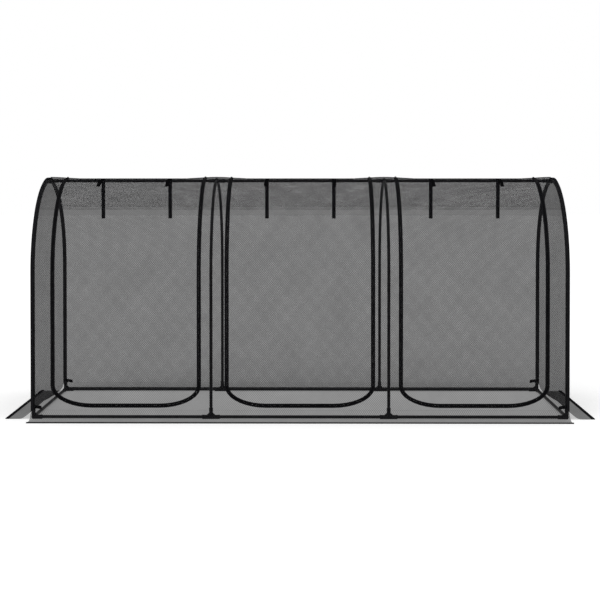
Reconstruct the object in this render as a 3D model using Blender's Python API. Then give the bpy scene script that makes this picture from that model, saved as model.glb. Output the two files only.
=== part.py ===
"""Fruit cage: a netted tunnel on four arched hoops, with three zipped doors.

Metres, +Z up. The origin is on the ground under the middle of the cage, +X runs
along its length and -Y is the side with the doors.
"""
import math

import bmesh
import bpy
from mathutils import Matrix, Vector
from mathutils.geometry import delaunay_2d_cdt

# Driving dimensions of the frame
CAGE_LENGTH = 2.70        # between the centres of the end hoops
CAGE_DEPTH = 0.945        # between the front and rear legs of one hoop
LEG_HEIGHT = 0.722        # straight part of a leg, above the base tubes
BAY_COUNT = 3
TUBE_RADIUS = 0.008
TUBE_WALL = 0.0006

# Driving dimensions of the plastic connectors
SOCKET_WALL = 0.0025
SOCKET_LENGTH = 0.045     # from the connector's centre to the socket's mouth
SOCKET_FLOOR = 0.014      # from the connector's centre to the socket's floor
SOCKET_FIT = 0.0003       # radial clearance of a tube in its socket
RIDGE_HUB_RADIUS = 0.016
FOOT_HALF_WIDTH = 0.0075
GUSSET_REACH = 0.020
GUSSET_HALF_THICKNESS = 0.0025

# Driving dimensions of the netting cover
SHEET_THICKNESS = 0.0008
SEAM_HEIGHT = 0.043       # of the seam between wall and skirt
SKIRT_WIDTH = 0.130
HEM_WIDTH = 0.008
HEM_RISE = 0.0008
ROOF_STRIP_RUN = 0.395    # doubled strip, from the ridge down the slope
BINDING_WIDTH = 0.013
BINDING_RISE = 0.0012
LIFT_HALF_LENGTH = 0.190  # reach of the cover's rise over a hoop, along the ridge
LIFT_RUN = 0.200          # reach of that rise down the slope

# Driving dimensions of the doors and their zips
DOOR_POST_WIDTH = 0.160   # by which the two runs of a door's zip lie closer than two hoops
SIDE_DOOR_INSET = 0.0194  # of a side door from the middle of its bay, towards the centre door
DOOR_BOTTOM_HEIGHT = 0.069
DOOR_CORNER_WIDTH = 0.200
DOOR_CORNER_HEIGHT = 0.100
DOOR_CORNER_POINTS = 7
ZIP_TAPE_WIDTH = 0.0095
ZIP_TAPE_RISE = 0.0012
DOOR_TOP_GAP = 0.0015

# Driving dimensions of the small webbing and metal pieces
STRAP_WIDTH = 0.020
STRAP_THICKNESS = 0.0014
STRAP_SPREAD = 0.360      # between the two straps of one door
OUTER_TAIL_LENGTH = 0.180
INNER_TAIL_LENGTH = 0.202  # below the ridge tube's axis
SLIDER_LENGTH = 0.014
SLIDER_WIDTH = 0.011
SLIDER_HEIGHT = 0.003
SLIDER_CROWN = 0.0065
SLIDER_TAB_LENGTH = 0.022
SLIDER_TAB_WIDTH = 0.005
SLIDER_TAB_THICKNESS = 0.0012
SLIDER_START = 0.004      # from the ridge to the slider's upper end
SLIDER_CLEARANCE = 0.003  # between a lifting door and the tip of a parked pull tab
TIE_WIDTH = 0.013
TIE_THICKNESS = 0.0015
TIE_TAIL_LENGTH = 0.031
TIE_TAIL_HALF_THICKNESS = 0.0022
TIE_DROOP = 0.005

# Clearances
GAP = 0.0003              # between pieces that touch
STEP_RUN = 0.001          # width of the slope beside a raised seam
CUT_OVERRUN = 0.010       # how far a cut runs past what it opens

# Facets
TUBE_SIDES = 10
ARC_STEPS = 9
TIE_STEPS = 12
HUB_RINGS = 7
SOCKET_TURN = math.radians(9)  # of a cross socket's facets and a hub's, away from the others

# Colours as linear values
TUBE_COLOUR = (0.012, 0.012, 0.013)
CONNECTOR_COLOUR = (0.007, 0.007, 0.008)
NET_COLOUR = (0.045, 0.045, 0.048)
WEBBING_COLOUR = (0.010, 0.010, 0.011)
SLIDER_COLOUR = (0.020, 0.020, 0.022)

# Sizes that follow
SOCKET_RADIUS = TUBE_RADIUS + SOCKET_FIT + SOCKET_WALL
BASE_Z = SOCKET_RADIUS
ARCH_RADIUS = CAGE_DEPTH / 2
SPRING_Z = BASE_Z + LEG_HEIGHT
RIDGE_Z = SPRING_Z + ARCH_RADIUS
ARC_RUN = ARCH_RADIUS * math.pi / 2
BAY_LENGTH = CAGE_LENGTH / BAY_COUNT
HOOP_PLACES = [BAY_LENGTH * n - CAGE_LENGTH / 2 for n in range(BAY_COUNT + 1)]
WALL_OFFSET = SOCKET_RADIUS + GAP          # of the cover's inner face, from a hoop's centre line
RIDGE_OFFSET = TUBE_RADIUS + GAP
HUB_OFFSET = RIDGE_HUB_RADIUS + GAP
SEAM_RUN = ARC_RUN + SPRING_Z - SEAM_HEIGHT
HEM_RUN = SEAM_RUN + SKIRT_WIDTH
END_PLANE = CAGE_LENGTH / 2 + WALL_OFFSET  # inner face of an end wall
DOOR_WIDTH = BAY_LENGTH - DOOR_POST_WIDTH  # between the two runs of the zip
DOOR_BOTTOM_RUN = ARC_RUN + SPRING_Z - DOOR_BOTTOM_HEIGHT
DOOR_SHIFT = BAY_LENGTH - SIDE_DOOR_INSET
DOOR_PLACES = {"left": -DOOR_SHIFT, "centre": 0.0, "right": DOOR_SHIFT}
TUBE_START = SOCKET_FLOOR + GAP
# Closed end of a zip at the ridge, where the slider parks clear of the door
ZIP_END_LENGTH = SLIDER_START + SLIDER_LENGTH / 2 + SLIDER_TAB_LENGTH + SLIDER_CLEARANCE
# Room above a strap tail's axis for its corner as it swings
TAIL_CLEARANCE = STRAP_THICKNESS / 2 + GAP * 2

X_AXIS, Y_AXIS, Z_AXIS = Vector((1, 0, 0)), Vector((0, 1, 0)), Vector((0, 0, 1))


# Helpers

def make_material(name, colour, roughness, metallic):
    material = bpy.data.materials.new(name)
    material.use_nodes = True
    material.diffuse_color = (*colour, 1)
    shader = material.node_tree.nodes["Principled BSDF"]
    shader.inputs["Base Color"].default_value = (*colour, 1)
    shader.inputs["Roughness"].default_value = roughness
    shader.inputs["Metallic"].default_value = metallic
    return material


def make_object(name, bm, material, origin=None, smooth=False):
    """Turn a bmesh in world coordinates into an object with the given origin."""
    origin = origin or Vector()
    bmesh.ops.recalc_face_normals(bm, faces=bm.faces)
    mesh = bpy.data.meshes.new(name)
    bm.to_mesh(mesh)
    bm.free()
    mesh.transform(Matrix.Translation(-origin))
    mesh.materials.append(material)
    if smooth:
        mesh.shade_smooth()
        mesh.set_sharp_from_angle(angle=math.radians(40))
    piece = bpy.data.objects.new(name, mesh)
    piece.location = origin
    bpy.context.scene.collection.objects.link(piece)
    return piece


def combine(piece, others, operation):
    """Boolean each of the others with a piece, then drop them."""
    for other in others:
        modifier = piece.modifiers.new(operation.lower(), "BOOLEAN")
        modifier.operation = operation
        modifier.object = other
    bpy.context.view_layer.update()
    evaluated = piece.evaluated_get(bpy.context.evaluated_depsgraph_get())
    mesh = bpy.data.meshes.new_from_object(evaluated)
    piece.modifiers.clear()
    old = piece.data
    piece.data = mesh
    mesh.name = piece.name
    bpy.data.meshes.remove(old)
    for other in others:
        bpy.data.objects.remove(other)


def ring_points(centre, tangent, side, radius):
    up = tangent.cross(side).normalized()
    turns = [2 * math.pi * n / TUBE_SIDES for n in range(TUBE_SIDES)]
    return [centre + radius * (math.cos(a) * side + math.sin(a) * up) for a in turns]


def add_sweep(bm, path, side, radius):
    """Add the open skin of a round bar along a path; return its rings."""
    rings = []
    for n, point in enumerate(path):
        before = path[max(n - 1, 0)]
        after = path[min(n + 1, len(path) - 1)]
        tangent = (after - before).normalized()
        rings.append([bm.verts.new(p) for p in ring_points(point, tangent, side, radius)])
    for ring, following in zip(rings, rings[1:]):
        for n in range(TUBE_SIDES):
            m = (n + 1) % TUBE_SIDES
            bm.faces.new((ring[n], ring[m], following[m], following[n]))
    return rings


def make_tube(name, path, side, material):
    """A hollow tube along a path, open at both ends."""
    bm = bmesh.new()
    outer = add_sweep(bm, path, side, TUBE_RADIUS)
    inner = add_sweep(bm, path, side, TUBE_RADIUS - TUBE_WALL)
    for end in (0, -1):
        for n in range(TUBE_SIDES):
            m = (n + 1) % TUBE_SIDES
            bm.faces.new((outer[end][n], outer[end][m], inner[end][m], inner[end][n]))
    return make_object(name, bm, material, smooth=True)


def make_bar(name, start, end, side, radius, material):
    """A solid round bar between two points."""
    bm = bmesh.new()
    rings = add_sweep(bm, [start, end], side, radius)
    bm.faces.new(rings[0])
    bm.faces.new(rings[-1])
    return make_object(name, bm, material)


def make_prism(name, outline, along, material):
    """Extrude a flat outline of 3D points by one vector."""
    bm = bmesh.new()
    face = bm.faces.new([bm.verts.new(point) for point in outline])
    grown = bmesh.ops.extrude_face_region(bm, geom=[face])
    moved = [item for item in grown["geom"] if isinstance(item, bmesh.types.BMVert)]
    bmesh.ops.translate(bm, vec=along, verts=moved)
    return make_object(name, bm, material)


def is_inside(point, loop):
    """Even and odd crossings of a closed loop, for a point of its plane."""
    inside = False
    for start, end in zip(loop, loop[1:] + loop[:1]):
        if (start[1] > point[1]) != (end[1] > point[1]):
            share = (point[1] - start[1]) / (end[1] - start[1])
            if point[0] < start[0] + share * (end[0] - start[0]):
                inside = not inside
    return inside


def rectangle(left, top, right, bottom):
    return [(left, top), (right, top), (right, bottom), (left, bottom)]


def make_panel(name, boundary, place, material, thickness, cutouts=(), creases=(), raised=(),
               origin=None):
    """A closed sheet of net, tape or webbing.

    boundary and cutouts are loops in the sheet's own plan, creases are lines that its
    facets follow, raised holds pairs of an outline, a function of how far it grows,
    and the height that the sheet gains inside it. place puts a point of the plan in space.
    """
    points, edges = [], []
    loops = [boundary, *cutouts]
    for outline, height in raised:
        loops += [outline(0), outline(STEP_RUN)]
    for loop in loops:
        first = len(points)
        points += loop
        edges += [(first + n, first + (n + 1) % len(loop)) for n in range(len(loop))]
    for start, end in creases:
        edges.append((len(points), len(points) + 1))
        points += [start, end]
    plan, _, triangles, *_ = delaunay_2d_cdt([Vector(p) for p in points], edges, [], 0, GAP / 100)
    kept = []
    for triangle in triangles:
        middle = sum((plan[n] for n in triangle), Vector((0, 0))) / len(triangle)
        if is_inside(middle, boundary) and not any(is_inside(middle, hole) for hole in cutouts):
            kept.append(triangle)
    steps = [(outline(STEP_RUN / 2), height) for outline, height in raised]
    bm = bmesh.new()
    outer, inner = {}, {}
    for n in sorted({n for triangle in kept for n in triangle}):
        rise = thickness + sum(height for loop, height in steps if is_inside(plan[n], loop))
        outer[n] = bm.verts.new(place(*plan[n], rise))
        inner[n] = bm.verts.new(place(*plan[n], 0))
    rim = set()
    for triangle in kept:
        bm.faces.new([outer[n] for n in triangle])
        bm.faces.new([inner[n] for n in reversed(triangle)])
        for start, end in zip(triangle, (*triangle[1:], triangle[0])):
            rim ^= {(min(start, end), max(start, end))}
    for start, end in sorted(rim):
        bm.faces.new((outer[start], outer[end], inner[end], inner[start]))
    return make_object(name, bm, material, origin)


# Shape of the cover

def smooth_fall(share):
    """From 1 at 0 to 0 at 1, level at both ends."""
    share = min(max(share, 0), 1)
    return 1 - share * share * (3 - 2 * share)


def cover_offset(x, run):
    """Distance of the cover's inner face from the hoops' centre surface."""
    nearest = min(abs(x - place) for place in HOOP_PLACES)
    ridge = RIDGE_OFFSET + (HUB_OFFSET - RIDGE_OFFSET) * smooth_fall(nearest / LIFT_HALF_LENGTH)
    return WALL_OFFSET + (ridge - WALL_OFFSET) * smooth_fall(run / LIFT_RUN)


def skirt_point(run, layer):
    """Outward reach and height of the skirt, at a run from the seam."""
    landing_share = 0.5
    share = run / SKIRT_WIDTH
    flat = min(share / landing_share, 1)
    drop = SEAM_HEIGHT * (1 - flat) ** 2
    return run + layer * (1 - flat), drop + layer * flat


def slope_place(facing):
    """Placing function of the front (facing -1) or rear (facing 1) of the cover."""
    def place(x, run, layer):
        offset = cover_offset(x, run) + layer
        if run < ARC_RUN:
            angle = run / ARCH_RADIUS
            out = (ARCH_RADIUS + offset) * math.sin(angle)
            height = SPRING_Z + (ARCH_RADIUS + offset) * math.cos(angle)
        elif run <= SEAM_RUN:
            out = ARCH_RADIUS + offset
            height = SPRING_Z + ARC_RUN - run
        else:
            reach, height = skirt_point(run - SEAM_RUN, layer)
            out = ARCH_RADIUS + WALL_OFFSET + reach
        return Vector((x, facing * out, height))
    return place


def end_place(facing):
    """Placing function of an end wall, whose plan is y and height, less than the seam's on the skirt."""
    def place(y, height, layer):
        if height >= SEAM_HEIGHT:
            return Vector((facing * (END_PLANE + layer), y, height))
        reach, low = skirt_point(SEAM_HEIGHT - height, layer)
        return Vector((facing * (END_PLANE + reach), y, low))
    return place


def skirt_shares():
    return [0.12, 0.25, 0.37, 0.5]


def slope_creases(left, right, last_run):
    """Lines that follow the arch, the rise over each hoop, the seam and the skirt."""
    runs = [ARC_RUN * n / ARC_STEPS for n in range(1, ARC_STEPS + 1)]
    runs += [LIFT_RUN * share for share in (0.12, 0.6, 0.8, 1)]
    runs += [SEAM_RUN] + [SEAM_RUN + SKIRT_WIDTH * share for share in skirt_shares()]
    lines = [((left, run), (right, run)) for run in runs if run < last_run]
    for place in HOOP_PLACES:
        for share in (-1, -0.7, -0.35, 0, 0.35, 0.7, 1):
            x = place + LIFT_HALF_LENGTH * share
            if left < x < right:
                lines.append(((x, -CUT_OVERRUN), (x, LIFT_RUN)))
    return lines


def roof_strip(grow):
    reach = END_PLANE + CUT_OVERRUN
    return rectangle(-reach, -CUT_OVERRUN, reach, ROOF_STRIP_RUN + grow)


def hem_strip(grow):
    reach = END_PLANE + CUT_OVERRUN
    return rectangle(-reach, HEM_RUN - HEM_WIDTH - grow, reach, HEM_RUN + CUT_OVERRUN)


def end_binding(facing):
    def outline(grow):
        inner = facing * (END_PLANE - BINDING_WIDTH - grow)
        outer = facing * (END_PLANE + CUT_OVERRUN)
        return rectangle(min(inner, outer), -CUT_OVERRUN, max(inner, outer), SEAM_RUN)
    return outline


def corner_curve(centre_x, half_width, bottom, width, height):
    """Rounded lower corners of a door, from its left side round to its right side."""
    points = []
    for side in (-1, 1):
        middle = (centre_x + side * (half_width - width), bottom - height)
        for n in range(DOOR_CORNER_POINTS + 1):
            turn = math.pi / 2 * n / DOOR_CORNER_POINTS
            if side > 0:
                turn = math.pi / 2 - turn
            point = (middle[0] + side * width * math.cos(turn), middle[1] + height * math.sin(turn))
            points.append(point)
    return points


def zip_outline(centre_x, grow):
    """The loop of a door's zip line, grown outward, closed above the ridge."""
    half = DOOR_WIDTH / 2 + grow
    curve = corner_curve(centre_x, half, DOOR_BOTTOM_RUN + grow,
                         DOOR_CORNER_WIDTH + grow, DOOR_CORNER_HEIGHT + grow)
    return [(centre_x - half, -CUT_OVERRUN), *curve, (centre_x + half, -CUT_OVERRUN)]


def door_outline(centre_x, grow):
    """A door's own edge: the zip line with a notch at each closed zip end."""
    half = DOOR_WIDTH / 2 + grow
    neck = DOOR_WIDTH / 2 - ZIP_TAPE_WIDTH + grow
    curve = corner_curve(centre_x, half, DOOR_BOTTOM_RUN + grow,
                         DOOR_CORNER_WIDTH + grow, DOOR_CORNER_HEIGHT + grow)
    notch = ZIP_END_LENGTH - grow
    return [(centre_x - neck, -CUT_OVERRUN), (centre_x - neck, notch), (centre_x - half, notch), *curve,
            (centre_x + half, notch), (centre_x + neck, notch), (centre_x + neck, -CUT_OVERRUN)]


def clip_top(loop, top):
    """Move the points of a loop that lie above the ridge down to a line."""
    return [(x, max(run, top)) for x, run in loop]


# Frame

def connector_sockets(arms, material):
    """Solid bars that the sockets are bored from, one bar where two arms face each other."""
    directions = [direction for direction, _ in arms]
    bars = []
    for direction, side in arms:
        opposite = -direction in directions
        if opposite and directions.index(-direction) < directions.index(direction):
            continue
        start = -direction * (SOCKET_LENGTH if opposite else SOCKET_WALL)
        turn = SOCKET_TURN if direction.y and not direction.z else 0
        turned = Matrix.Rotation(turn, 3, direction) @ side
        bars.append(make_bar("socket", start, direction * SOCKET_LENGTH, turned, SOCKET_RADIUS, material))
    return bars


def connector_bore(direction, side, material):
    mouth = direction * (SOCKET_LENGTH + CUT_OVERRUN)
    return make_bar("bore", direction * SOCKET_FLOOR, mouth, side, TUBE_RADIUS + SOCKET_FIT, material)


def connector_hub(name, radius, material):
    """An egg-shaped hub, no thicker along the cage than its sockets."""
    bm = bmesh.new()
    bmesh.ops.create_uvsphere(bm, u_segments=TUBE_SIDES, v_segments=HUB_RINGS, radius=radius)
    turn = Matrix.Rotation(SOCKET_TURN, 3, "X") @ Matrix.Rotation(math.pi / 2, 3, "Y")
    bmesh.ops.rotate(bm, cent=Vector(), matrix=turn, verts=bm.verts)
    bmesh.ops.scale(bm, vec=(SOCKET_RADIUS / radius, 1, 1), verts=bm.verts)
    return make_object(name, bm, material)


def connector_foot(level, material):
    """Flat pad under the base sockets, down to the ground, straight or with a corner."""
    first, second = level
    reach = SOCKET_LENGTH - GAP
    half = FOOT_HALF_WIDTH
    if first.dot(second) < 0:
        across = first.cross(Z_AXIS)
        plan = [(-reach, -half), (reach, -half), (reach, half), (-reach, half)]
    else:
        across = second
        plan = [(-half, -half), (reach, -half), (reach, half), (half, half), (half, reach), (-half, reach)]
    outline = [first * along + across * aside - Z_AXIS * BASE_Z for along, aside in plan]
    return make_prism("foot", outline, Z_AXIS * (BASE_Z - SOCKET_WALL), material)


def connector_gussets(level, material):
    """Triangular ribs between the upright socket and the base sockets."""
    reach = SOCKET_RADIUS + GUSSET_REACH
    first, second = level
    if first.dot(second) < 0:
        corners = [(first, -first * reach)]
    else:
        corners = [(direction, -(direction + Z_AXIS) * SOCKET_WALL) for direction in level]
    ribs = []
    for direction, corner in corners:
        across = direction.cross(Z_AXIS) * GUSSET_HALF_THICKNESS
        outline = [point - across for point in (corner, direction * reach, Z_AXIS * reach)]
        ribs.append(make_prism("gusset", outline, across * 2, material))
    return ribs


def make_connector(name, place, arms, hub_radius, material, on_ground=False):
    """One moulded connector: a hub, a socket along each arm, and ribs and feet at the base."""
    piece = connector_hub(name, hub_radius, material)
    added = connector_sockets(arms, material)
    if on_ground:
        level = [direction for direction, _ in arms if not direction.z]
        added += [connector_foot(level, material), *connector_gussets(level, material)]
    combine(piece, added, "UNION")
    combine(piece, [connector_bore(direction, side, material) for direction, side in arms], "DIFFERENCE")
    piece.data.shade_smooth()
    piece.data.set_sharp_from_angle(angle=math.radians(40))
    piece.location = place


def arch_chord():
    """Direction of the hoop's first facet from the ridge, as reach and height."""
    turn = math.pi / 2 / ARC_STEPS / 2
    return math.cos(turn), -math.sin(turn)


def hoop_path(x, facing):
    """Centre line of one half of a hoop, from its ridge socket to its base socket."""
    reach, fall = arch_chord()
    ridge = Vector((x, 0, RIDGE_Z))
    path = [ridge + Vector((0, facing * reach, fall)) * TUBE_START]
    for n in range(1, ARC_STEPS + 1):
        angle = math.pi / 2 * n / ARC_STEPS
        path.append(Vector((x, facing * ARCH_RADIUS * math.sin(angle),
                            SPRING_Z + ARCH_RADIUS * math.cos(angle))))
    path.append(Vector((x, facing * ARCH_RADIUS, BASE_Z + TUBE_START)))
    return path


def make_frame(tube, plastic):
    reach, fall = arch_chord()
    numbers = range(1, BAY_COUNT + 2)
    for number, x in zip(numbers, HOOP_PLACES):
        inward = [X_AXIS * turn for turn in (-1, 1) if abs(x + turn * BAY_LENGTH) < CAGE_LENGTH / 2 + GAP]
        arms = [(direction, Y_AXIS) for direction in inward]
        arms += [(Vector((0, facing * reach, fall)), X_AXIS) for facing in (-1, 1)]
        make_connector(f"ridge_connector_{number}", Vector((x, 0, RIDGE_Z)), arms, RIDGE_HUB_RADIUS, plastic)
        for facing, row in ((-1, "front"), (1, "rear")):
            make_tube(f"hoop_{number}_{row}", hoop_path(x, facing), X_AXIS, tube)
            arms = [(direction, Y_AXIS) for direction in inward] + [(Z_AXIS, X_AXIS)]
            if len(inward) == 1:
                arms.append((-facing * Y_AXIS, X_AXIS))
            foot = Vector((x, facing * ARCH_RADIUS, BASE_Z))
            make_connector(f"base_connector_{number}_{row}", foot, arms, SOCKET_RADIUS, plastic, True)
    for number, x in zip(numbers, HOOP_PLACES[:-1]):
        for name, y, z in (("ridge_tube", 0, RIDGE_Z), ("base_tube_front", -ARCH_RADIUS, BASE_Z),
                           ("base_tube_rear", ARCH_RADIUS, BASE_Z)):
            path = [Vector((x + TUBE_START, y, z)), Vector((x + BAY_LENGTH - TUBE_START, y, z))]
            make_tube(f"{name}_{number}", path, Y_AXIS, tube)
    for name, x in (("left", HOOP_PLACES[0]), ("right", HOOP_PLACES[-1])):
        y = ARCH_RADIUS - TUBE_START
        make_tube(f"base_tube_{name}", [Vector((x, -y, BASE_Z)), Vector((x, y, BASE_Z))], X_AXIS, tube)


# Cover

def make_slopes(net):
    edge = END_PLANE - GAP
    boundary = rectangle(-edge, GAP / 2, edge, HEM_RUN)
    raised = [(roof_strip, SHEET_THICKNESS), (hem_strip, HEM_RISE),
              (end_binding(-1), BINDING_RISE), (end_binding(1), BINDING_RISE)]
    creases = slope_creases(-edge, edge, HEM_RUN)
    openings = [zip_outline(x, ZIP_TAPE_WIDTH + GAP) for x in DOOR_PLACES.values()]
    make_panel("front_net", boundary, slope_place(-1), net, SHEET_THICKNESS, openings, creases, raised)
    make_panel("rear_net", boundary, slope_place(1), net, SHEET_THICKNESS, (), creases, raised)


def end_outline(inset):
    """The arched edge of an end wall, from its front skirt corner over to its rear one."""
    place = slope_place(1)
    layer = SHEET_THICKNESS + BINDING_RISE - inset
    runs = [ARC_RUN * n / ARC_STEPS for n in range(ARC_STEPS, 0, -1)]
    rise = [place(END_PLANE, run, layer) for run in [SEAM_RUN] + runs]
    low = SEAM_HEIGHT - SKIRT_WIDTH - (CUT_OVERRUN if inset else 0)
    half = ARCH_RADIUS + WALL_OFFSET + SHEET_THICKNESS - inset
    front = [(-half, low)] + [(-point.y, point.z) for point in rise]
    top = [(0, place(END_PLANE, 0, layer).z)]
    rear = [(point.y, point.z) for point in reversed(rise)] + [(half, low)]
    return front + top + rear


def make_end_walls(net):
    half = ARCH_RADIUS + END_PLANE
    levels = [SEAM_HEIGHT] + [SEAM_HEIGHT - SKIRT_WIDTH * share for share in skirt_shares()]
    creases = [((-half, level), (half, level)) for level in levels]
    low = SEAM_HEIGHT - SKIRT_WIDTH

    def field(grow):
        return end_outline(BINDING_WIDTH - grow)

    def hem(grow):
        return rectangle(-half, low - CUT_OVERRUN, half, low + HEM_WIDTH + grow)

    for name, facing in (("left", -1), ("right", 1)):
        make_panel(f"end_net_{name}", end_outline(0), end_place(facing), net,
                   SHEET_THICKNESS + BINDING_RISE, (), creases, [(field, -BINDING_RISE), (hem, HEM_RISE)])


def hinge_height():
    """Height of a door's turning axis, level with the highest point of its top edge."""
    edge = DOOR_PLACES["right"] + DOOR_WIDTH / 2
    top = max(cover_offset(x, 0) for x in (edge, DOOR_WIDTH / 2))
    return RIDGE_Z + top + SHEET_THICKNESS * 2 + ZIP_TAPE_RISE + STRAP_THICKNESS


def strap_places(centre_x):
    return [centre_x - STRAP_SPREAD / 2, centre_x + STRAP_SPREAD / 2]


def make_doors(net, webbing):
    place = slope_place(-1)
    for name, centre_x in DOOR_PLACES.items():
        axis = Vector((centre_x, 0, hinge_height()))
        raised = [(roof_strip, SHEET_THICKNESS),
                  (lambda grow, x=centre_x: zip_outline(x, grow - ZIP_TAPE_WIDTH), -ZIP_TAPE_RISE)]
        for x in strap_places(centre_x):
            raised.append((lambda grow, x=x: rectangle(
                x - STRAP_WIDTH / 2 - grow, -CUT_OVERRUN, x + STRAP_WIDTH / 2 + grow,
                OUTER_TAIL_LENGTH + grow), STRAP_THICKNESS))
        half = DOOR_WIDTH / 2
        creases = slope_creases(centre_x - half, centre_x + half, DOOR_BOTTOM_RUN)
        edge = clip_top(door_outline(centre_x, -GAP / 2), DOOR_TOP_GAP)
        make_panel(f"door_{name}", edge, place, net, SHEET_THICKNESS + ZIP_TAPE_RISE,
                   (), creases, raised, axis)
        tape = clip_top(zip_outline(centre_x, ZIP_TAPE_WIDTH), GAP / 2)
        make_panel(f"zip_{name}", tape, place, webbing, SHEET_THICKNESS + ZIP_TAPE_RISE,
                   [door_outline(centre_x, GAP / 2)],
                   slope_creases(centre_x - half - ZIP_TAPE_WIDTH, centre_x + half + ZIP_TAPE_WIDTH,
                                 DOOR_BOTTOM_RUN), [(roof_strip, SHEET_THICKNESS)])


# Straps, sliders and ties

def make_inner_tails(webbing):
    """Webbing tails that hang inside, in front of the ridge tube, two behind each door."""
    y = -TUBE_RADIUS - GAP * 2 - STRAP_THICKNESS
    for name, centre_x in DOOR_PLACES.items():
        for number, x in enumerate(strap_places(centre_x), 1):
            top = RIDGE_Z + cover_offset(x, 0) - TAIL_CLEARANCE
            left = x - STRAP_WIDTH / 2
            bottom = RIDGE_Z - INNER_TAIL_LENGTH
            outline = [Vector((left, y, z)) for z in (bottom, top)]
            outline += [Vector((left + STRAP_WIDTH, y, z)) for z in (top, bottom)]
            tail = make_prism(f"strap_tail_{name}_{number}", outline, Y_AXIS * STRAP_THICKNESS, webbing)
            axis = Vector((x, y + STRAP_THICKNESS / 2, top))
            tail.data.transform(Matrix.Translation(-axis))
            tail.location = axis


def make_sliders(metal):
    """A slider parked on each closed zip end, pull tab down the slope."""
    for name, centre_x in DOOR_PLACES.items():
        for side, turn in (("left", -1), ("right", 1)):
            x = centre_x + turn * DOOR_WIDTH / 2
            seat = cover_offset(x, 0) + SHEET_THICKNESS * 2 + ZIP_TAPE_RISE + GAP
            low = ARCH_RADIUS + seat

            def section(along, height, across):
                return Vector((x + across, -along, SPRING_Z + low + height))

            half = SLIDER_WIDTH / 2
            middle = SLIDER_LENGTH / 2
            shoulder = SLIDER_LENGTH / 6
            outline = [section(0, 0, -half), section(0, SLIDER_HEIGHT, -half),
                       section(middle - shoulder, SLIDER_HEIGHT, -half), section(middle, SLIDER_CROWN, -half),
                       section(middle + shoulder, SLIDER_HEIGHT, -half),
                       section(SLIDER_LENGTH, SLIDER_HEIGHT, -half), section(SLIDER_LENGTH, 0, -half)]
            body = make_prism(f"slider_{name}_{side}", outline, X_AXIS * SLIDER_WIDTH, metal)
            half = SLIDER_TAB_WIDTH / 2
            lift = SLIDER_HEIGHT - SLIDER_TAB_THICKNESS
            tab = [section(middle, lift, -half), section(middle, SLIDER_HEIGHT, -half),
                   section(middle + SLIDER_TAB_LENGTH, SLIDER_HEIGHT, -half),
                   section(middle + SLIDER_TAB_LENGTH, lift, -half)]
            combine(body, [make_prism("tab", tab, X_AXIS * SLIDER_TAB_WIDTH, metal)], "UNION")
            axis = Vector((x, 0, SPRING_Z))
            turned = Matrix.Rotation(SLIDER_START / ARCH_RADIUS, 4, "X")
            body.data.transform(turned @ Matrix.Translation(-axis))
            body.location = axis


def make_ties(webbing):
    """A webbing loop round each end leg, its tail pointing in along the cage."""
    inner = TUBE_RADIUS + GAP
    outer = inner + TIE_THICKNESS
    low = BASE_Z + SOCKET_LENGTH + GAP
    for name, x in (("left", HOOP_PLACES[0]), ("right", HOOP_PLACES[-1])):
        for row, y in (("front", -ARCH_RADIUS), ("rear", ARCH_RADIUS)):
            inward = -math.copysign(1, x)
            spread = math.asin(TIE_TAIL_HALF_THICKNESS / outer)
            turns = [spread + (2 * math.pi - 2 * spread) * n / TIE_STEPS for n in range(TIE_STEPS + 1)]
            loop = [(outer * math.cos(turn), outer * math.sin(turn)) for turn in turns]
            tip = outer + TIE_TAIL_LENGTH
            loop += [(tip, -TIE_TAIL_HALF_THICKNESS), (tip, TIE_TAIL_HALF_THICKNESS)]
            hole = [(inner * math.cos(turn), inner * math.sin(turn))
                    for turn in (2 * math.pi * n / TUBE_SIDES for n in range(TUBE_SIDES))]
            creases = [((outer + TIE_TAIL_LENGTH * share, -outer), (outer + TIE_TAIL_LENGTH * share, outer))
                       for share in (0.3, 0.65)]

            def place(along, across, layer):
                reach = max(along - outer, 0) / TIE_TAIL_LENGTH
                return Vector((x + inward * along, y + across, low + layer - TIE_DROOP * reach ** 2))

            make_panel(f"corner_tie_{name}_{row}", loop, place, webbing, TIE_WIDTH, [hole], creases)


def main():
    for item in list(bpy.data.objects):
        bpy.data.objects.remove(item)
    tube = make_material("coated_steel_tube", TUBE_COLOUR, 0.45, 0.0)
    plastic = make_material("black_plastic", CONNECTOR_COLOUR, 0.5, 0.0)
    net = make_material("black_net", NET_COLOUR, 0.9, 0.0)
    webbing = make_material("black_webbing", WEBBING_COLOUR, 0.85, 0.0)
    metal = make_material("painted_metal", SLIDER_COLOUR, 0.4, 0.6)
    make_frame(tube, plastic)
    make_slopes(net)
    make_end_walls(net)
    make_doors(net, webbing)
    make_inner_tails(webbing)
    make_sliders(metal)
    make_ties(webbing)


main()
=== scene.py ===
"""Looks of a netted fruit cage: cover, doors, zips, straps, tubes, connectors and stage."""

import math

import bmesh
import bpy
from mathutils import Euler, Matrix, Vector


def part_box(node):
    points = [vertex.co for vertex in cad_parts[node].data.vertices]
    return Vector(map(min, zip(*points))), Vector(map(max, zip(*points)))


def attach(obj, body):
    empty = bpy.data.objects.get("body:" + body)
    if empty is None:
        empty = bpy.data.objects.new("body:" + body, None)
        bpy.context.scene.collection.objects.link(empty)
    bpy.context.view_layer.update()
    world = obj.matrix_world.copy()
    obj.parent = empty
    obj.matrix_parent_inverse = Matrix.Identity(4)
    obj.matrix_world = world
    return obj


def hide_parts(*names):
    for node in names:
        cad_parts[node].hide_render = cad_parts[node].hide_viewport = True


bl_info = {
    "name": "Fruit cage",
    "version": (1, 0, 0),
    "blender": (4, 5, 0),
    "location": "3D View > Sidebar > Fruit Cage",
    "description": "Builds the netting, zips, webbing, tubes and connectors of a fruit cage",
    "category": "Object",
}

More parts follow.
